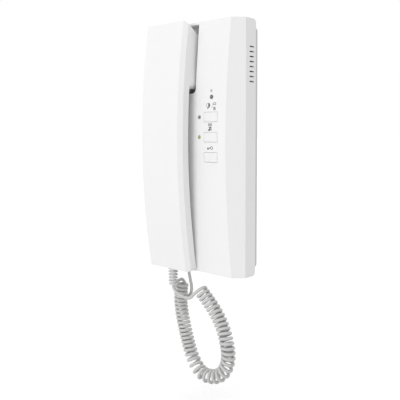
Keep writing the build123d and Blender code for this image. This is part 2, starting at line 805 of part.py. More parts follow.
def strain_boot():
    """Ribbed boot under the handset: separate ribs on a thin core, a neck and an inner flange."""
    pitch = boot_length / (boot_ribs - 1 + boot_rib_share)
    root = boot_rib_share * pitch
    rim = boot_rim_share * root
    flange_low = handset_bottom + handset_wall + slide_gap
    flange_high = flange_low + boot_flange_height
    profile = [(0, flange_high), (boot_flange_radius, flange_high), (boot_flange_radius, flange_low),
               (boot_neck_radius, flange_low), (boot_neck_radius, handset_bottom)]
    for rib in range(boot_ribs):
        top = handset_bottom - rib * pitch
        radius = boot_radius + (boot_tip_radius - boot_radius) * rib / (boot_ribs - 1)
        profile += [(boot_core_radius, top)] if rib else []
        profile += [(radius, top - (root - rim) / 2), (radius, top - (root + rim) / 2),
                    (boot_core_radius, top - root)]
    profile.append((0, handset_bottom - boot_length))
    outline = Plane(origin=(boot_x, -boot_depth, 0), x_dir=(1, 0, 0), z_dir=(0, -1, 0)) * make_face(
        Polyline(*profile, close=True))
    return revolve(outline, axis=Axis((boot_x, -boot_depth, 0), (0, 0, 1)))


def hung(places):
    """The cord's places, set under the base and across from the boot."""
    return [Vector(boot_x + x, y, z - half_height) for x, y, z in places]


def smooth_axis(places, steps):
    """Points and directions on the smooth curve whose control points are the given places."""
    middles = [(a + b) / 2 for a, b in zip(places[1:-2], places[2:-1])]
    joints = [places[0]] + middles + [places[-1]]
    track = []
    for index, control in enumerate(places[1:-1]):
        start, end = joints[index], joints[index + 1]
        for step in range(steps):
            t = step / steps
            point = start * (1 - t) ** 2 + control * (2 * t * (1 - t)) + end * t ** 2
            track.append((point, ((control - start) * (1 - t) + (end - control) * t).normalized()))
    track.append((places[-1], (places[-1] - places[-2]).normalized()))
    return track


def pitch_factor(share):
    """Pitch at a share of the axis, read off the table of pitch shares."""
    for (low, first), (high, last) in zip(pitch_shares, pitch_shares[1:]):
        if share <= high:
            return first + (last - first) * (share - low) / (high - low)
    return pitch_shares[-1][1]


def coil_points():
    """Places and directions at each half curl of the cord, along the coil's axis."""
    track = smooth_axis(hung(coil_axis), axis_steps)
    lengths = [0.0]
    for (a, _), (b, _) in zip(track, track[1:]):
        lengths.append(lengths[-1] + (b - a).length)
    turns = [0.0]
    for low, high in zip(lengths, lengths[1:]):
        middle = (low + high) / 2 / lengths[-1]
        turns.append(turns[-1] + (high - low) / pitch_factor(middle))
    total = curl_count + (last_curl_angle - first_curl_angle) / 360
    scale = total / turns[-1]
    spans = round(total * spans_per_curl)
    points = []
    index = 0
    for span in range(spans + 1):
        turn = total * span / spans
        while index < len(turns) - 2 and turns[index + 1] * scale < turn:
            index += 1
        share = (turn / scale - turns[index]) / (turns[index + 1] - turns[index])
        centre = track[index][0] * (1 - share) + track[index + 1][0] * share
        ahead = (track[index][1] * (1 - share) + track[index + 1][1] * share).normalized()
        front = Vector(0, -1, 0)
        front = (front - ahead * front.dot(ahead)).normalized()
        side = ahead.cross(front)
        angle = math.radians(first_curl_angle + 360 * turn)
        arm = front * math.cos(angle) - side * math.sin(angle)
        swing = front * -math.sin(angle) - side * math.cos(angle)
        pitch = (lengths[index + 1] - lengths[index]) / ((turns[index + 1] - turns[index]) * scale)
        points.append((centre + arm * coil_radius,
                       (swing * (2 * math.pi * coil_radius) + ahead * pitch).normalized()))
    return points


def biarc(start, start_way, end, end_way):
    """Two arcs that leave start along start_way and reach end along end_way."""
    gap = end - start
    both = start_way + end_way
    spread = 2 * (1 - start_way.dot(end_way))
    reach = (-gap.dot(both) + math.sqrt(gap.dot(both) ** 2 + spread * gap.dot(gap))) / spread
    first = start + start_way * reach
    last = end - end_way * reach
    joint = (first + last) / 2
    return [Edge.make_tangent_arc(start, start_way, joint),
            Edge.make_tangent_arc(joint, (last - first).normalized(), end)]


def wire_along(path):
    """Round wire, drawn with flat sides, along a path."""
    start = path.position_at(0)
    section = Plane(origin=start, z_dir=path.tangent_at(0)) * RegularPolygon(wire_radius, wire_sides)
    return sweep(section, path=path, clean=False)


def least_coil_gap(points):
    """Least clear distance from the coiled wire to itself, measured on points."""
    samples = [edge.position_at(step / arc_samples) for (a, a_way), (b, b_way) in zip(points, points[1:])
               for edge in biarc(a, a_way, b, b_way) for step in range(arc_samples)]
    half_curl = arc_samples * spans_per_curl
    least = min((samples[i] - samples[j]).length for i in range(len(samples))
                for j in range(i + half_curl, min(i + nearby_turns * half_curl, len(samples))))
    return least - wire_diameter


def coil_path(points):
    """Path of the coiled wire: a straight stub at each end and a biarc for each half curl."""
    first, first_way = points[0]
    last, last_way = points[-1]
    edges = [Edge.make_line(first - first_way * wire_diameter, first)]
    for (a, a_way), (b, b_way) in zip(points, points[1:]):
        edges += biarc(a, a_way, b, b_way)
    edges.append(Edge.make_line(last, last + last_way * wire_diameter))
    return Wire(edges)


def lead(places, name):
    """Free stretch of the cord: straight runs joined by arcs as large as the runs allow."""
    radii = []
    for before, corner, after in zip(places, places[1:], places[2:]):
        turn = (corner - before).get_angle(after - corner)
        shorter = min((corner - before).length, (after - corner).length)
        radii.append(run_share * shorter / math.tan(math.radians(turn) / 2))
    path = FilletPolyline(*places, radius=radii).wire()
    solid = wire_along(path)
    print(name, "radii", [round(radius, 1) for radius in radii], "length", round(path.length, 1),
          "volume share", round(solid.volume / (wire_area() * path.length), 3))
    return solid


def wire_area():
    """Area of the wire's flat-sided section."""
    return wire_sides / 2 * wire_radius ** 2 * math.sin(2 * math.pi / wire_sides)


def base_lead(points):
    """Cord from the grommet, down and behind the coil's top, to the first curl."""
    start, way = points[0]
    places = [Vector(grommet_x, -grommet_depth, -half_height - grommet_proud)] + hung(base_lead_route)
    return lead(places + [start - way * (2 * wire_diameter), start - way * wire_diameter], "base_lead")


def handset_lead(points):
    """Cord from the last curl to the tip of the boot."""
    end, way = points[-1]
    tip = Vector(boot_x, -boot_depth, handset_bottom - boot_length)
    below = tip - Vector(0, 0, wire_diameter)
    places = [end + way * wire_diameter, end + way * (2 * wire_diameter)]
    return lead(places + hung(handset_lead_route) + [below, tip], "handset_lead")


def build():
    """Every piece of the intercom under its own name."""
    points = coil_points()
    coil = wire_along(coil_path(points))
    coiled = coil_path(points).length
    print("curly_cord length", round(coiled), "least gap", round(least_coil_gap(points), 2),
          "volume share", round(coil.volume / (wire_area() * coiled), 3))
    button_names = ["upper_button", "middle_button", "lower_button"]
    switch_names = ["upper_switch", "middle_switch", "lower_switch"]
    lamp_names = ["left_upper_lamp", "left_lower_lamp"]
    pieces = {
        "front_cover": front_cover(),
        "rear_case": rear_case(),
        "wall_bracket": wall_bracket(),
        "case_screws": case_screws(),
        "main_board": main_board(),
        "board_screws": board_screws(),
        "terminal_block": terminal_block(),
        "chime_sounder": chime_sounder(),
        "call_lamp": lamp(call_lamp_x, call_lamp_z, call_lamp_radius),
        "hook_lever": hook_lever(),
        "hook_pin": hook_pin(),
        "hook_switch": hook_switch(),
        "cord_grommet": cord_grommet(),
        "base_lead": base_lead(points),
        "curly_cord": coil,
        "handset_lead": handset_lead(points),
        "strain_boot": strain_boot(),
        "handset_front_shell": handset_front_shell(),
        "handset_rear_shell": handset_rear_shell(),
        "handset_screws": handset_screws(),
        "receiver_capsule": receiver_capsule(),
        "microphone_capsule": microphone_capsule(),
        "microphone_sleeve": microphone_sleeve(),
    }
    for name, z in zip(button_names, button_rows):
        pieces[name] = button_cap(z)
    for name, z in zip(switch_names, button_rows):
        pieces[name] = tact_switch(z)
    for name, z in zip(lamp_names, left_lamp_rows):
        pieces[name] = lamp(left_lamp_x, z, left_lamp_radius)
    return pieces


os.makedirs("parts", exist_ok=True)
for name, piece in build().items():
    solids = piece if isinstance(piece, list) else piece.solids()
    shape = Compound(children=list(solids)) if len(solids) > 1 else solids[0]
    export_step(shape, f"parts/{name}.step")
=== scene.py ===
import math

import bmesh
import bpy
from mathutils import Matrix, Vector


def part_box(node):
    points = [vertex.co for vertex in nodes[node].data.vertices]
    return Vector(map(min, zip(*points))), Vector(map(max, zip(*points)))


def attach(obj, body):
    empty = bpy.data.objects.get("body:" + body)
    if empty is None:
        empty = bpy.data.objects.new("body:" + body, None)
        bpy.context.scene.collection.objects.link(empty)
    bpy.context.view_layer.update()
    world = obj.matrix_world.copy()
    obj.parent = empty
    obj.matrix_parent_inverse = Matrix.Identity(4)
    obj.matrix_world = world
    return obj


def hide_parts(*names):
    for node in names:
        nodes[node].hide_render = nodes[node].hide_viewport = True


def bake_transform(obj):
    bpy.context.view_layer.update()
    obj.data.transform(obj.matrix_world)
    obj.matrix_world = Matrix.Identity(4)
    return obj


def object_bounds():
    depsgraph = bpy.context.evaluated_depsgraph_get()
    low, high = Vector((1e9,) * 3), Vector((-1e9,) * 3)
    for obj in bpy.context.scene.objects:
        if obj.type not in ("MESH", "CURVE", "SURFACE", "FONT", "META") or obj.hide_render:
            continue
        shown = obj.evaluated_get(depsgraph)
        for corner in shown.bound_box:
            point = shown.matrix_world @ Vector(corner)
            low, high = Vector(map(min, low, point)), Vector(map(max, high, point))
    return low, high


# Looks of the wall-mounted intercom handset. +Z is up, the wall is y = 0 and the front faces -Y.
# All sizes are in metres, in the frame of the CAD model.
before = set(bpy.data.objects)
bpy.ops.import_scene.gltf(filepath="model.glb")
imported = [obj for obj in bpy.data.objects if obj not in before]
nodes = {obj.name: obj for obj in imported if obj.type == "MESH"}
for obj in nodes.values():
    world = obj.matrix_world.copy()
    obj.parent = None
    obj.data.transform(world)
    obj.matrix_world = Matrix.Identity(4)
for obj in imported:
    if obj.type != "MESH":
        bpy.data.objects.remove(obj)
cad_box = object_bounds()

# Cord: its section, the turns of its coil and how finely both are drawn
wire_diameter = 0.0029
wire_sides = 14
coil_radius = 0.0051
curl_count = 46
first_curl_angle = -90.0
last_curl_angle = 0.0
places_per_curl = 12
axis_steps = 48
spline_steps = 4
spline_order = 3

# Share of a control place in the point of the curve nearest to it: its two neighbours have the rest
own_place_share = 0.75

# Share of the cord's points in the half that stays with the base
split_share = 0.47

# Ribbed boot, on the handset's lower end
boot_low, boot_high = (Vector(corner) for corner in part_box("strain_boot"))
boot_x = (boot_low.x + boot_high.x) / 2
boot_y = (boot_low.y + boot_high.y) / 2
boot_radius = 0.00465
boot_tip_radius = 0.0043
boot_core_radius = 0.0023
boot_neck_radius = 0.0023
boot_flange_radius = 0.0034
boot_flange_height = 0.0014
boot_ribs = 6
boot_rib_share = 0.58
boot_rim_share = 0.55
boot_sides = 40
rib_edge_steps = 8

# Lowest points of the front cover and of the handset's front shell: the cord hangs from the first, the
# boot's ribs start at the second.
# The cord's places are measured across from the boot, out from the wall and down from the base.
base_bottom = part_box("front_cover")[0][2]
handset_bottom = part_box("handset_front_shell")[0][2]

# Each place of the coil's axis, from the base lead round the hanging loop to the handset lead
coil_axis = [
    (-0.0008, -0.0198, -0.0162),
    (-0.0028, -0.0193, -0.0280),
    (-0.0027, -0.0188, -0.0398),
    (0.0006, -0.0182, -0.0560),
    (0.0059, -0.0185, -0.0710),
    (0.0133, -0.0192, -0.0864),
    (0.0250, -0.0204, -0.0962),
    (0.0401, -0.0214, -0.0949),
    (0.0527, -0.0223, -0.0879),
    (0.0598, -0.0233, -0.0735),
    (0.0589, -0.0250, -0.0567),
    (0.0511, -0.0237, -0.0418),
    (0.0404, -0.0246, -0.0275),
    (0.0286, -0.0261, -0.0167),
]

# Spread of the curls along the axis: share of the length, and the relative pitch there
pitch_shares = [(0.0, 0.88), (0.30, 0.88), (0.40, 1.4), (0.60, 1.5), (0.70, 0.98), (1.0, 0.92)]

# Places of the two leads, from the grommet to the coil and from the coil to the boot
base_lead_route = [
    (0.0036, -0.0150, -0.0003),
    (0.0036, -0.0150, -0.0055),
    (0.0046, -0.0136, -0.0140),
    (0.0052, -0.0122, -0.0215),
    (0.0030, -0.0110, -0.0276),
    (-0.0018, -0.0096, -0.0314),
    (-0.0074, -0.0082, -0.0312),
    (-0.0106, -0.0068, -0.0290),
    (-0.0100, -0.0060, -0.0245),
    (-0.0080, -0.0074, -0.0208),
    (-0.0062, -0.0106, -0.0182),
]
handset_lead_route = [
    (0.0206, -0.0318, -0.0250),
    (0.0116, -0.0317, -0.0248),
    (0.0033, -0.0319, -0.0222),
]

# How near two points of a mesh are made one, and the least angle of a sharp edge
merge_distance = 0.000001
sharp_angle = 40.0

# Front of the base, which the printed symbols lie on
front_depth = 0.0302
front_radius = 1.650
front_crown_z = 0.004
print_height = 0.00006

# Call lamp, and the section of the ring round it: past the lamp's radius, and proud of the front
call_lamp_x = 0.0243
call_lamp_z = 0.0446
call_lamp_radius = 0.0018
lamp_ring_sides = 36
lamp_ring_section = [
    (-0.00042, -0.0003),
    (-0.00042, 0.00018),
    (-0.00018, 0.00026),
    (0.00012, 0.00008),
    (0.00012, -0.0003),
]

# Printed symbols. Each has its place on the front, across and up, and its parts are measured from there.
circle_steps = 28
half_circle_steps = 16

# Bell
bell_place = (0.0239, 0.0501)
bell_dome_z = 0.0004
bell_dome_radius = 0.0009
bell_lip = [(-0.0013, -0.0010), (0.0013, -0.0010)]
clapper_z = -0.0013
clapper_radius = 0.0003

# Half-filled disc with its tail
disc_place = (0.0207, 0.0374)
disc_radius = 0.0020
disc_line = 0.0003
tail_ends = [(-0.0008, -0.0017), (-0.0002, -0.0030)]
tail_width = 0.0009

# Slash
slash_place = (0.0252, 0.0367)
slash_ends = [(-0.0005, -0.0022), (0.0007, 0.0022)]
slash_width = 0.0004

# Door station: two level strokes and two upright ones
station_place = (0.0280, 0.0386)
station_reach = 0.0012
station_half_height = 0.0008
station_post_reach = 0.0010
station_line = 0.0004

# Grille of three bars
grille_place = (0.0278, 0.0345)
grille_pitch = 0.0009
grille_reach = 0.0014
grille_line = 0.0005

# Open door with a figure
door_place = (0.0228, 0.0188)
post_columns = (-0.0016, -0.0004, 0.0008, 0.0020)
post_low = 0.0004
post_high = 0.0032
post_width = 0.00045
lintel_ends = [(-0.0018, 0.0016), (0.0022, 0.0016)]
lintel_width = 0.0004
door_leaf = [(-0.0014, -0.0004), (0.0012, 0.0002), (0.0020, -0.0014), (-0.0002, -0.0018)]
figure_outline = [(-0.0020, -0.0034), (0.0006, -0.0034), (0.0010, -0.0020), (-0.0016, -0.0018)]
handle_x = 0.0017
handle_z = -0.0026
handle_radius = 0.0005
handle_steps = 12

# Key
key_place = (0.0231, 0.0004)
bow_x = 0.0017
bow_radius = 0.0012
bow_line = 0.0005
shaft_ends = [(-0.0034, 0.0), (0.0006, 0.0)]
shaft_width = 0.0006
tooth_columns = (-0.0030, -0.0016)
tooth_reach = 0.0015
tooth_width = 0.0007

# Part of a noise's range that is spread over a finish
noise_low = 0.3
noise_high = 0.7

# Moulded plastic and rubber
patch_size = 0.03
gloss_patch_size = 0.006
fine_detail = 2.0
gloss_swing = 0.05
grain_bump = 0.25
coat_roughness = 0.2

# Metal
drawn_line_size = 0.002
drawn_line_detail = 4.0
drawn_line_shade = 0.85
metal_gloss_swing = 0.08
metal_bump = 0.2
bracket_stretch = (1, 1, 14)
screw_stretch = (1, 12, 1)
capsule_stretch = (1, 10, 1)

# Lenses of the lamps: the clouds, the uneven gloss and the grain as parts of the lamp's radius
lens_cloud_parts = 2
lens_gloss_parts = 4
lens_grain_parts = 6
lens_gloss = (0.14, 0.26)
lens_coat = 0.6
lens_coat_roughness = 0.08
lens_bump = 0.1

# Circuit board
run_scale = 180.0
run_colours = {"Color1": (0.02, 0.14, 0.06), "Color2": (0.03, 0.18, 0.08), "Mortar": (0.05, 0.26, 0.11)}
board_gloss_size = 0.004
board_gloss = (0.25, 0.4)
board_bump = 0.3

# Depths of the bumps in a finish
fine_depth = 0.00002
coarse_depth = 0.00004
run_depth = 0.00005

# Camera, fitted to the edges of the base and the handset in a picture of 400 by 400
picture_size = 400.0
focal_pixels = 573.5
centre_row = 158.9
sensor_width = 36.0
camera_place = (0.3517, -0.4034, 0.0127)
camera_turn = 42.37
camera_tilt = 2.5
nearest_seen = 0.01

# Floor
floor_drop = 0.012
floor_reach = 30.0
floor_glow = 0.415
floor_patch_size = 0.4
floor_dark = (0.65, 0.65, 0.65)
floor_pale = (0.67, 0.67, 0.67)
floor_roughness = 0.8

# Surroundings, and the lamp in front
sky_strength = 0.90
lamp_share = 0.36
lamp_place = (-0.10, -2.00, 0.05)
lamp_size = 1.1


def front_at(z):
    """Depth of the base's bowed front at height z."""
    return front_depth - front_radius + math.sqrt(front_radius ** 2 - (z - front_crown_z) ** 2)


def mesh_piece(name, mesh, material):
    """New object in the scene with its mesh and material."""
    piece = bpy.data.objects.new(name, mesh)
    bpy.context.scene.collection.objects.link(piece)
    mesh.materials.append(material)
    return piece


def from_bmesh(name, form, material, smooth=False):
    """New object from a finished bmesh, its faces turned outward."""
    bmesh.ops.recalc_face_normals(form, faces=form.faces)
    mesh = bpy.data.meshes.new(name)
    form.to_mesh(mesh)
    form.free()
    if smooth:
        mesh.polygons.foreach_set("use_smooth", [True] * len(mesh.polygons))
        mesh.set_sharp_from_angle(angle=math.radians(sharp_angle))
    return mesh_piece(name, mesh, material)


def join_rings(form, first, second):
    """Faces between two closed rings of equally many points."""
    for index in range(len(first)):
        following = (index + 1) % len(first)
        form.faces.new((first[index], first[following], second[following], second[index]))


def shader_of(name):
    """New material with its node tree and its shader."""
    material = bpy.data.materials.new(name)
    material.use_nodes = True
    return material, material.node_tree, material.node_tree.nodes["Principled BSDF"]


def place_source(tree, stretch=(1, 1, 1)):
    """Object coordinates, stretched where a finish runs in one direction."""
    place = tree.nodes.new("ShaderNodeTexCoord")
    mapping = tree.nodes.new("ShaderNodeMapping")
    mapping.inputs["Scale"].default_value = stretch
    tree.links.new(place.outputs["Object"], mapping.inputs["Vector"])
    return mapping.outputs["Vector"]


def noise(tree, source, size, detail=3.0):
    """Noise whose features are about size across."""
    texture = tree.nodes.new("ShaderNodeTexNoise")
    texture.inputs["Scale"].default_value = 1 / size
    texture.inputs["Detail"].default_value = detail
    tree.links.new(source, texture.inputs["Vector"])
    return texture.outputs["Fac"]


def spread(tree, value, low, high):
    """The middle of a noise's range spread between two values."""
    node = tree.nodes.new("ShaderNodeMapRange")
    node.inputs["From Min"].default_value = noise_low
    node.inputs["From Max"].default_value = noise_high
    node.inputs["To Min"].default_value = low
    node.inputs["To Max"].default_value = high
    tree.links.new(value, node.inputs["Value"])
    return node.outputs["Result"]


def mixed(tree, factor, first, second):
    """Colour between two colours by a factor."""
    node = tree.nodes.new("ShaderNodeMix")
    node.data_type = "RGBA"
    node.inputs["A"].default_value = (*first, 1)
    node.inputs["B"].default_value = (*second, 1)
    tree.links.new(factor, node.inputs["Factor"])
    return node.outputs["Result"]


def bumped(tree, shader, height, strength, distance):
    """Bump from a height on the shader's normal."""
    node = tree.nodes.new("ShaderNodeBump")
    node.inputs["Strength"].default_value = strength
    node.inputs["Distance"].default_value = distance
    tree.links.new(height, node.inputs["Height"])
    tree.links.new(node.outputs["Normal"], shader.inputs["Normal"])


def moulded(name, colour, roughness, grain=0.0004, depth=fine_depth, mottle=0.02, coat=0.0):
    """Moulded plastic or rubber: fine grain, faint uneven gloss and a faint mottle in the colour."""
    material, tree, shader = shader_of(name)
    source = place_source(tree)
    patches = noise(tree, source, patch_size, fine_detail)
    darker = tuple(channel * (1 - mottle) for channel in colour)
    tree.links.new(mixed(tree, patches, darker, colour), shader.inputs["Base Color"])
    uneven = noise(tree, source, gloss_patch_size)
    gloss = spread(tree, uneven, roughness - gloss_swing, roughness + gloss_swing)
    tree.links.new(gloss, shader.inputs["Roughness"])
    shader.inputs["Coat Weight"].default_value = coat
    shader.inputs["Coat Roughness"].default_value = coat_roughness
    bumped(tree, shader, noise(tree, source, grain, fine_detail), grain_bump, depth)
    return material


def metal(name, colour, roughness, stretch):
    """Rolled or turned metal with fine drawn lines."""
    material, tree, shader = shader_of(name)
    source = place_source(tree, stretch)
    shader.inputs["Metallic"].default_value = 1.0
    lines = noise(tree, source, drawn_line_size, drawn_line_detail)
    darker = tuple(channel * drawn_line_shade for channel in colour)
    tree.links.new(mixed(tree, lines, darker, colour), shader.inputs["Base Color"])
    gloss = spread(tree, lines, roughness - metal_gloss_swing, roughness + metal_gloss_swing)
    tree.links.new(gloss, shader.inputs["Roughness"])
    bumped(tree, shader, lines, metal_bump, fine_depth)
    return material


def lens(name, colour, dark):
    """Tinted lens of a lamp: clouded body under a clear glossy face."""
    material, tree, shader = shader_of(name)
    source = place_source(tree)
    clouds = noise(tree, source, call_lamp_radius / lens_cloud_parts)
    tree.links.new(mixed(tree, clouds, dark, colour), shader.inputs["Base Color"])
    gloss = spread(tree, noise(tree, source, call_lamp_radius / lens_gloss_parts), *lens_gloss)
    tree.links.new(gloss, shader.inputs["Roughness"])
    shader.inputs["Coat Weight"].default_value = lens_coat
    shader.inputs["Coat Roughness"].default_value = lens_coat_roughness
    bumped(tree, shader, noise(tree, source, call_lamp_radius / lens_grain_parts), lens_bump, fine_depth)
    return material


def board_finish():
    """Green lacquer over copper runs."""
    material, tree, shader = shader_of("board_finish")
    source = place_source(tree)
    runs = tree.nodes.new("ShaderNodeTexBrick")
    runs.inputs["Scale"].default_value = run_scale
    for part, colour in run_colours.items():
        runs.inputs[part].default_value = (*colour, 1)
    tree.links.new(source, runs.inputs["Vector"])
    tree.links.new(runs.outputs["Color"], shader.inputs["Base Color"])
    gloss = spread(tree, noise(tree, source, board_gloss_size), *board_gloss)
    tree.links.new(gloss, shader.inputs["Roughness"])
    bumped(tree, shader, runs.outputs["Fac"], board_bump, run_depth)
    return material


# Every finish by its slot's name: colour and roughness, then what sets it apart
finishes = {
    "cover_white": moulded("cover_finish", (0.88, 0.88, 0.88), 0.36),
    "rear_grey": moulded("rear_finish", (0.60, 0.61, 0.62), 0.5, grain=0.0007, depth=coarse_depth),
    "bracket_steel": metal("bracket_finish", (0.36, 0.37, 0.38), 0.42, bracket_stretch),
    "screw_steel": metal("screw_finish", (0.40, 0.40, 0.41), 0.3, screw_stretch),
    "board_green": board_finish(),
    "switch_black": moulded("switch_finish", (0.025, 0.025, 0.027), 0.4, mottle=0.2),
    "terminal_grey": moulded("terminal_finish", (0.22, 0.24, 0.25), 0.5, mottle=0.08),
    "sounder_black": moulded("sounder_finish", (0.018, 0.018, 0.02), 0.55, grain=0.0009, mottle=0.25),
    "button_white": moulded("button_finish", (0.87, 0.87, 0.87), 0.3, grain=0.0003),
    "lamp_dark_green": lens("call_lamp_finish", (0.16, 0.22, 0.16), (0.10, 0.15, 0.10)),
    "lamp_grey": lens("grey_lamp_finish", (0.24, 0.26, 0.24), (0.16, 0.18, 0.16)),
    "lamp_yellow_green": lens("green_lamp_finish", (0.42, 0.46, 0.14), (0.30, 0.34, 0.09)),
    "lever_white": moulded("lever_finish", (0.75, 0.75, 0.74), 0.4),
    "cord_grey": moulded("cord_finish", (0.59, 0.59, 0.585), 0.42, grain=0.0005, mottle=0.06, coat=0.15),
    "boot_white": moulded("boot_finish", (0.72, 0.72, 0.715), 0.48, grain=0.0005, mottle=0.04),
    "handset_white": moulded("handset_finish", (0.88, 0.88, 0.88), 0.34),
    "capsule_metal": metal("capsule_finish", (0.58, 0.58, 0.56), 0.35, capsule_stretch),
    "sleeve_rubber": moulded("sleeve_finish", (0.03, 0.03, 0.03), 0.7, grain=0.0006, mottle=0.2),
}
print_dark = moulded("print_dark", (0.10, 0.11, 0.12), 0.5, grain=0.0002, mottle=0.2)
print_light = moulded("print_light", (0.45, 0.47, 0.50), 0.5, grain=0.0002, mottle=0.1)

# The finish of each solid
node_slots = {
    "wall_bracket": "bracket_steel", "rear_case": "rear_grey", "front_cover": "cover_white",
    "main_board": "board_green", "upper_button": "button_white", "middle_button": "button_white",
    "lower_button": "button_white", "upper_switch": "switch_black", "middle_switch": "switch_black",
    "lower_switch": "switch_black", "call_lamp": "lamp_dark_green", "left_upper_lamp": "lamp_grey",
    "left_lower_lamp": "lamp_yellow_green", "chime_sounder": "sounder_black", "hook_lever": "lever_white",
    "hook_pin": "screw_steel", "hook_switch": "switch_black", "terminal_block": "terminal_grey",
    "case_screws": "screw_steel", "board_screws": "screw_steel", "cord_grommet": "boot_white",
    "base_lead": "cord_grey", "curly_cord": "cord_grey", "handset_lead": "cord_grey",
    "handset_front_shell": "handset_white", "handset_rear_shell": "handset_white",
    "receiver_capsule": "capsule_metal", "microphone_capsule": "capsule_metal",
    "microphone_sleeve": "sleeve_rubber", "handset_screws": "screw_steel", "strain_boot": "boot_white",
}
for node, finish in node_slots.items():
    for place in nodes[node].material_slots:
        place.material = finishes[finish]


def spline_line(places, steps):
    """Points along the smooth spline whose control points are the given places."""
    curve = bpy.data.curves.new("route", "CURVE")
    curve.dimensions = "3D"
    curve.resolution_u = steps
    spline = curve.splines.new("NURBS")
    spline.points.add(len(places) - 1)
    for point, place in zip(spline.points, places):
        point.co = (*place, 1)
    spline.order_u = spline_order
    spline.use_endpoint_u = True
    holder = bpy.data.objects.new("route", curve)
    mesh = bpy.data.meshes.new_from_object(holder)
    line = [vertex.co.copy() for vertex in mesh.vertices]
    bpy.data.objects.remove(holder)
    bpy.data.meshes.remove(mesh)
    bpy.data.curves.remove(curve)
    return line


def pitch_factor(share):
    """Pitch at a share of the axis, read off the table of pitch shares."""
    for (low, first), (high, last) in zip(pitch_shares, pitch_shares[1:]):
        if share <= high:
            return first + (last - first) * (share - low) / (high - low)
    return pitch_shares[-1][1]


def hung(places):
    """The cord's places, set under the base and across from the boot."""
    return [Vector((boot_x + x, y, base_bottom + z)) for x, y, z in places]


def helix_places():
    """Control places of the curls round the coil's axis, with the way the cord runs at both ends."""
    axis = spline_line(hung(coil_axis), axis_steps)
    lengths = [0.0]
    for before, after in zip(axis, axis[1:]):
        lengths.append(lengths[-1] + (after - before).length)
    turns = [0.0]
    for low, high in zip(lengths, lengths[1:]):
        turns.append(turns[-1] + (high - low) / pitch_factor((low + high) / 2 / lengths[-1]))
    total = curl_count + (last_curl_angle - first_curl_angle) / 360
    scale = total / turns[-1]
    steps = round(total * places_per_curl)
    # The control places lie a little outside the coil, so that the curve itself has its radius.
    between_places = 2 * math.pi / places_per_curl
    reach = coil_radius / (own_place_share + (1 - own_place_share) * math.cos(between_places))
    places = []
    ways = []
    index = 0
    for step in range(steps + 1):
        turn = total * step / steps
        while index < len(turns) - 2 and turns[index + 1] * scale < turn:
            index += 1
        share = (turn / scale - turns[index]) / (turns[index + 1] - turns[index])
        centre = axis[index].lerp(axis[index + 1], share)
        ahead = (axis[index + 1] - axis[index]).normalized()
        front = Vector((0, -1, 0))
        front = (front - ahead * front.dot(ahead)).normalized()
        side = ahead.cross(front)
        angle = math.radians(first_curl_angle + 360 * turn)
        arm = front * math.cos(angle) - side * math.sin(angle)
        swing = front * -math.sin(angle) - side * math.cos(angle)
        pitch = (lengths[index + 1] - lengths[index]) / ((turns[index + 1] - turns[index]) * scale)
        places.append(centre + arm * reach)
        ways.append((swing * (2 * math.pi * coil_radius) + ahead * pitch).normalized())
    return places, ways[0], ways[-1]


def cord_line():
    """The whole cord's centreline, from the grommet through the coil to the boot."""
    curls, first_way, last_way = helix_places()
    before = [curls[0] - first_way * wire_diameter * times for times in (2, 1)]
    after = [curls[-1] + last_way * wire_diameter * times for times in (1, 2)]
    tip = Vector((boot_x, boot_y, boot_low.z))
    below = tip - Vector((0, 0, wire_diameter))
    base_end = [*hung(base_lead_route), *before]
    handset_end = [*after, *hung(handset_lead_route), below, tip]
    return spline_line([*base_end, *curls, *handset_end], spline_steps)


def cord_tube(name, line):
    """Round tube along a line, its rings turned as little as possible, closed at both ends."""
    form = bmesh.new()
    ahead = (line[1] - line[0]).normalized()
    across = ahead.orthogonal().normalized()
    rings = []
    for index, point in enumerate(line):
        before = line[max(index - 1, 0)]
        after = line[min(index + 1, len(line) - 1)]
        turned = (after - before).normalized()
        across = (ahead.rotation_difference(turned) @ across).normalized()
        ahead = turned
        up = ahead.cross(across)
        ring = []
        for side in range(wire_sides):
            angle = 2 * math.pi * side / wire_sides
            arm = across * math.cos(angle) + up * math.sin(angle)
            ring.append(form.verts.new(point + arm * (wire_diameter / 2)))
        rings.append(ring)
    for first, second in zip(rings, rings[1:]):
        join_rings(form, first, second)
    form.faces.new(rings[0])
    form.faces.new(rings[-1])
    return from_bmesh(name, form, finishes["cord_grey"], smooth=True)


def make_cord(boot):
    """The cord as two meshes: the half nearer the base goes with the base, the half nearer the handset
    stays where it is.
    """
    line = cord_line()
    split = round(len(line) * split_share)
    lower_line = line[:split + 1]
    upper_line = line[split:]
    lower = cord_tube("curly_cord_base_half", lower_line)
    upper = cord_tube("curly_cord_handset_half", upper_line)
    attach(lower, "base")
    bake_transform(upper)
    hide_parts("base_lead", "curly_cord")
    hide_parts("handset_lead")


def boot_profile():
    """Half section of the boot, radius and height: flange inside the handset, neck, then the ribs."""
    length = handset_bottom - boot_low.z
    pitch = length / (boot_ribs - 1 + boot_rib_share)
    root = boot_rib_share * pitch
    rim = boot_rim_share * root / 2
    flange_low = boot_high.z - boot_flange_height
    profile = [
        (0.0, boot_high.z),
        (boot_flange_radius, boot_high.z),
        (boot_flange_radius, flange_low),
        (boot_neck_radius, flange_low),
    ]
    for rib in range(boot_ribs):
        top = handset_bottom - rib * pitch
        reach = boot_radius + (boot_tip_radius - boot_radius) * rib / (boot_ribs - 1)
        profile.append((boot_core_radius, top))
        for step in range(rib_edge_steps + 1):
            angle = math.pi * (0.5 - step / rib_edge_steps)
            profile.append((reach - rim * (1 - math.cos(angle)), top - root / 2 + rim * math.sin(angle)))
        profile.append((boot_core_radius, top - root))
    profile.append((0.0, boot_low.z))
    return profile


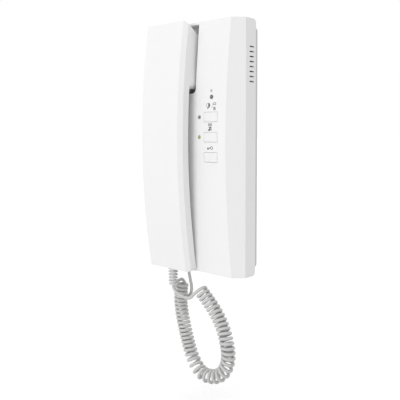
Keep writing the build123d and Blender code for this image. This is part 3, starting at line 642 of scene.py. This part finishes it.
def make_boot():
    """Boot as in the model, but with round-edged ribs."""
    profile = boot_profile()
    form = bmesh.new()
    rings = []
    for side in range(boot_sides):
        angle = 2 * math.pi * side / boot_sides
        ring = []
        for reach, z in profile:
            x = boot_x + reach * math.cos(angle)
            y = boot_y + reach * math.sin(angle)
            ring.append(form.verts.new((x, y, z)))
        rings.append(ring)
    for ring, following in zip(rings, rings[1:] + rings[:1]):
        for place in range(len(profile) - 1):
            form.faces.new((ring[place], ring[place + 1], following[place + 1], following[place]))
    bmesh.ops.remove_doubles(form, verts=form.verts, dist=merge_distance)
    boot = from_bmesh("ribbed_boot", form, finishes["boot_white"], smooth=True)
    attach(boot, "handset")
    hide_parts("strain_boot")
    return boot


def circle_loop(x, z, radius, start=0.0, end=360.0, count=circle_steps):
    """Points round a circle or part of one, seen from the front."""
    whole = end - start >= 360.0
    steps = count if whole else count + 1
    angles = [math.radians(start + (end - start) * step / count) for step in range(steps)]
    return [(x + radius * math.cos(angle), z + radius * math.sin(angle)) for angle in angles]


def ring_stroke(x, z, radius, width):
    """Round stroke, as its outer and its inner circle."""
    return circle_loop(x, z, radius + width / 2), circle_loop(x, z, radius - width / 2)


def bar_loop(start, end, width):
    """Straight stroke between two places."""
    x0, z0 = start
    x1, z1 = end
    along = Vector((x1 - x0, z1 - z0)).normalized()
    aside = Vector((-along.y, along.x)) * width / 2
    return [(x0 + aside.x, z0 + aside.y), (x0 - aside.x, z0 - aside.y),
            (x1 - aside.x, z1 - aside.y), (x1 + aside.x, z1 + aside.y)]


def print_layer(form, place, loop, lift):
    """A loop's points about a place on the bowed front, raised off it or sunk into it by lift."""
    points = []
    for x, z in loop:
        height = place[1] + z
        points.append(form.verts.new((place[0] + x, -front_at(height) - lift, height)))
    return points


def printed(name, place, fills=(), strokes=(), material=print_dark):
    """Printed symbol on the bowed front: filled loops and round strokes, drawn about its place."""
    form = bmesh.new()
    for loop in fills:
        top = print_layer(form, place, loop, print_height)
        low = print_layer(form, place, loop, -print_height)
        form.faces.new(top)
        form.faces.new(low)
        join_rings(form, top, low)
    for outer, inner in strokes:
        corners = [(outer, print_height), (inner, print_height),
                   (inner, -print_height), (outer, -print_height)]
        layers = [print_layer(form, place, loop, lift) for loop, lift in corners]
        for first, second in zip(layers, layers[1:] + layers[:1]):
            join_rings(form, first, second)
    piece = from_bmesh(name, form, material)
    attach(piece, "base")


def bell_symbol():
    """Small bell over the call lamp."""
    dome = circle_loop(0, bell_dome_z, bell_dome_radius, 0, 180, half_circle_steps)
    clapper = circle_loop(0, clapper_z, clapper_radius)
    printed("bell_symbol", bell_place, fills=[dome + bell_lip, clapper], material=print_light)


def half_disc_symbol():
    """Disc filled on its right half, with a tail below."""
    ring = ring_stroke(0, 0, disc_radius, disc_line)
    half = circle_loop(0, 0, disc_radius, -90, 90, half_circle_steps)
    tail = bar_loop(*tail_ends, tail_width)
    printed("half_disc_symbol", disc_place, fills=[half, tail], strokes=[ring])


def slash_symbol():
    """Slash between the disc and the two small signs to its right."""
    printed("slash_symbol", slash_place, fills=[bar_loop(*slash_ends, slash_width)], material=print_light)


def door_station_symbol():
    """Small frame, for a call from the door."""
    bars = []
    for side in (-1, 1):
        level = side * station_half_height
        bars.append(bar_loop((-station_reach, level), (station_reach, level), station_line))
    for side in (-1, 1):
        column = side * station_reach
        bars.append(bar_loop((column, -station_post_reach), (column, station_post_reach), station_line))
    printed("door_station_symbol", station_place, fills=bars)


def grille_symbol():
    """Three upright bars, for a call in the house."""
    bars = []
    for step in (-1, 0, 1):
        column = step * grille_pitch
        bars.append(bar_loop((column, -grille_reach), (column, grille_reach), grille_line))
    printed("grille_symbol", grille_place, fills=bars)


def door_symbol():
    """Open door with a figure and a handle, between the first two buttons."""
    posts = [bar_loop((x, post_low), (x, post_high), post_width) for x in post_columns]
    lintel = bar_loop(*lintel_ends, lintel_width)
    handle = circle_loop(handle_x, handle_z, handle_radius, count=handle_steps)
    printed("door_symbol", door_place, fills=[*posts, lintel, door_leaf, figure_outline, handle])


def key_symbol():
    """Key between the second and third button."""
    bow = ring_stroke(bow_x, 0, bow_radius, bow_line)
    shaft = bar_loop(*shaft_ends, shaft_width)
    teeth = [bar_loop((x, 0), (x, -tooth_reach), tooth_width) for x in tooth_columns]
    printed("key_symbol", key_place, fills=[shaft, *teeth], strokes=[bow])


def lamp_ring():
    """Dark ring round the call lamp, a little proud of the front."""
    form = bmesh.new()
    rings = []
    for side in range(lamp_ring_sides):
        angle = 2 * math.pi * side / lamp_ring_sides
        ring = []
        for past, lift in lamp_ring_section:
            radius = call_lamp_radius + past
            x = call_lamp_x + radius * math.cos(angle)
            z = call_lamp_z + radius * math.sin(angle)
            ring.append(form.verts.new((x, -front_at(z) - lift, z)))
        rings.append(ring)
    for first, second in zip(rings, rings[1:] + rings[:1]):
        join_rings(form, first, second)
    piece = from_bmesh("call_lamp_ring", form, print_dark, smooth=True)
    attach(piece, "base")


def white_seen(tree):
    """One where the camera, a reflection or a clear body sees the surface, and zero elsewhere."""
    path = tree.nodes.new("ShaderNodeLightPath")
    total = path.outputs["Is Camera Ray"]
    for ray in ("Is Glossy Ray", "Is Transmission Ray"):
        add = tree.nodes.new("ShaderNodeMath")
        add.operation = "ADD"
        add.use_clamp = True
        tree.links.new(total, add.inputs[0])
        tree.links.new(path.outputs[ray], add.inputs[1])
        total = add.outputs["Value"]
    return total


def make_floor():
    """Plain pale floor under the hanging cord, white where nothing shades it."""
    level = cad_box[0][2] - floor_drop
    mesh = bpy.data.meshes.new("floor")
    corners = [(x * floor_reach, y * floor_reach, level) for x, y in ((-1, -1), (1, -1), (1, 1), (-1, 1))]
    mesh.from_pydata(corners, [], [(0, 1, 2, 3)])
    material, tree, shader = shader_of("floor_finish")
    patches = noise(tree, place_source(tree), floor_patch_size)
    tree.links.new(mixed(tree, patches, floor_dark, floor_pale), shader.inputs["Base Color"])
    shader.inputs["Roughness"].default_value = floor_roughness
    glow = tree.nodes.new("ShaderNodeMath")
    glow.operation = "MULTIPLY"
    glow.inputs[1].default_value = floor_glow
    tree.links.new(white_seen(tree), glow.inputs[0])
    shader.inputs["Emission Color"].default_value = (1, 1, 1, 1)
    tree.links.new(glow.outputs["Value"], shader.inputs["Emission Strength"])
    floor = mesh_piece("floor", mesh, material)


def make_surroundings():
    """Even white surroundings, seen as pure white."""
    world = bpy.data.worlds.new("studio")
    bpy.context.scene.world = world
    world.use_nodes = True
    tree = world.node_tree
    sky = tree.nodes["Background"]
    sky.inputs["Color"].default_value = (1, 1, 1, 1)
    strength = tree.nodes.new("ShaderNodeMapRange")
    strength.inputs["To Min"].default_value = sky_strength
    strength.inputs["To Max"].default_value = 1.0
    tree.links.new(white_seen(tree), strength.inputs["Value"])
    tree.links.new(strength.outputs["Result"], sky.inputs["Strength"])


def make_lamp():
    """Large soft lamp that lights what faces it as white surroundings of strength lamp_share would."""
    data = bpy.data.lights.new("key", "AREA")
    data.size = lamp_size
    distance = Vector(lamp_place).length
    data.energy = lamp_share * (math.pi * distance) ** 2
    lamp = bpy.data.objects.new("key", data)
    lamp.location = lamp_place
    lamp.rotation_euler = (-Vector(lamp_place)).to_track_quat("-Z", "Y").to_euler()
    bpy.context.scene.collection.objects.link(lamp)


def make_camera():
    """Camera at the photograph's place, with the vertical shift that its framing needs."""
    data = bpy.data.cameras.new("camera")
    data.sensor_width = sensor_width
    data.lens = focal_pixels / picture_size * sensor_width
    data.shift_y = (centre_row - picture_size / 2) / picture_size
    data.clip_start = nearest_seen
    camera = bpy.data.objects.new("camera", data)
    camera.location = camera_place
    camera.rotation_euler = (math.radians(90 - camera_tilt), 0, math.radians(camera_turn))
    bpy.context.scene.collection.objects.link(camera)
    bpy.context.scene.camera = camera


make_cord(make_boot())
bell_symbol()
half_disc_symbol()
slash_symbol()
door_station_symbol()
grille_symbol()
door_symbol()
key_symbol()
lamp_ring()
make_floor()
make_surroundings()
make_lamp()
make_camera()
bpy.context.scene.view_settings.view_transform = "Standard"
